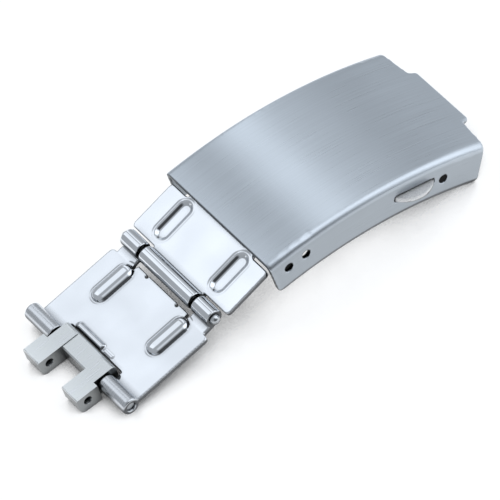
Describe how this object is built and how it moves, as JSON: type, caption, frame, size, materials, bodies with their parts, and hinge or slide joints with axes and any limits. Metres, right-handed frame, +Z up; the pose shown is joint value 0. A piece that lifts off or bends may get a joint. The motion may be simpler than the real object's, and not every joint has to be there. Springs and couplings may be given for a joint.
{
  "type": "fold-over bracelet clasp",
  "caption": "Push-button fold-over clasp for a metal watch bracelet, open: curved channel cover, folding blades on knuckle hinges and a forked end link.",
  "frame": {"origin": "centre of the bounding box on the surface the open clasp lies on", "axes": "+X along the clasp towards the cover's tongue, +Y across it, +Z up from the table"},
  "size_m": [0.0512, 0.0202, 0.0084],
  "materials": {
    "brushed_cover": "fine brushed along the clasp on top, polished rolled edges and bevels",
    "polished_blades": "mirror polished sheet",
    "satin_link": "satin brushed, sharp edges",
    "pins": "turned steel",
    "latch_steel": "stamped spring steel",
    "springs": "spring wire",
    "buttons": "fine blasted with polished rim",
    "spring_bar": "turned steel"
  },
  "bodies": {
    "cover": {"cover": "brushed_cover", "cover_pin": "pins", "latch_bracket": "latch_steel", "latch_spring": "springs", "spring_bar_tube": "spring_bar", "spring_bar_spring": "springs"},
    "inner_blade": {"inner_blade": "polished_blades"},
    "outer_blade": {"outer_blade": "polished_blades", "middle_pin": "pins", "cross_pin": "pins"},
    "fork_link": {"fork_link": "satin_link"},
    "latch_slide": {"latch_slide": "latch_steel"},
    "left_button": {"left_button": "buttons"},
    "right_button": {"right_button": "buttons"},
    "spring_bar_left_tip": {"spring_bar_left_tip": "spring_bar"},
    "spring_bar_right_tip": {"spring_bar_right_tip": "spring_bar"}
  },
  "joints": [
    {"name": "cover_hinge", "type": "hinge", "parent": "cover", "child": "inner_blade", "pos_m": [-0.00083, 0, 0.00617], "axis": [0, -1, 0], "range_deg": [-20, 160.79]},
    {"name": "middle_hinge", "type": "hinge", "parent": "inner_blade", "child": "outer_blade", "pos_m": [-0.00972, 0, 0.00429], "axis": [0, 1, 0], "range_deg": [-21.4, 171.7]},
    {"name": "link_hinge", "type": "hinge", "parent": "outer_blade", "child": "fork_link", "pos_m": [-0.02172, 0, 0.0016], "axis": [0, 1, 0], "range_deg": [-75, 75]},
    {"name": "left_button_press", "type": "slide", "parent": "cover", "child": "left_button", "axis": [0, -1, 0], "range_m": [0, 0.0009], "stiffness_N_per_m": 2000, "springref_m": -0.001},
    {"name": "right_button_press", "type": "slide", "parent": "cover", "child": "right_button", "axis": [0, 1, 0], "range_m": [0, 0.0009]},
    {"name": "latch_slide_travel", "type": "slide", "parent": "cover", "child": "latch_slide", "axis": [0.9752, 0, -0.2215], "range_m": [0, 0.0009], "deforming": ["latch_spring"]},
    {"name": "left_tip_press", "type": "slide", "parent": "cover", "child": "spring_bar_left_tip", "axis": [0, -1, 0], "range_m": [0, 0.0008], "stiffness_N_per_m": 500, "springref_m": -0.002, "deforming": ["spring_bar_spring"]},
    {"name": "right_tip_press", "type": "slide", "parent": "cover", "child": "spring_bar_right_tip", "axis": [0, 1, 0], "range_m": [0, 0.0008], "stiffness_N_per_m": 500, "springref_m": -0.002, "deforming": ["spring_bar_spring"]}
  ],
  "couplings": [
    {"joint": "middle_hinge", "follows": "cover_hinge", "ratio": 1.0672},
    {"joint": "right_button_press", "follows": "left_button_press", "ratio": 1},
    {"joint": "latch_slide_travel", "follows": "left_button_press", "ratio": 1}
  ]
}
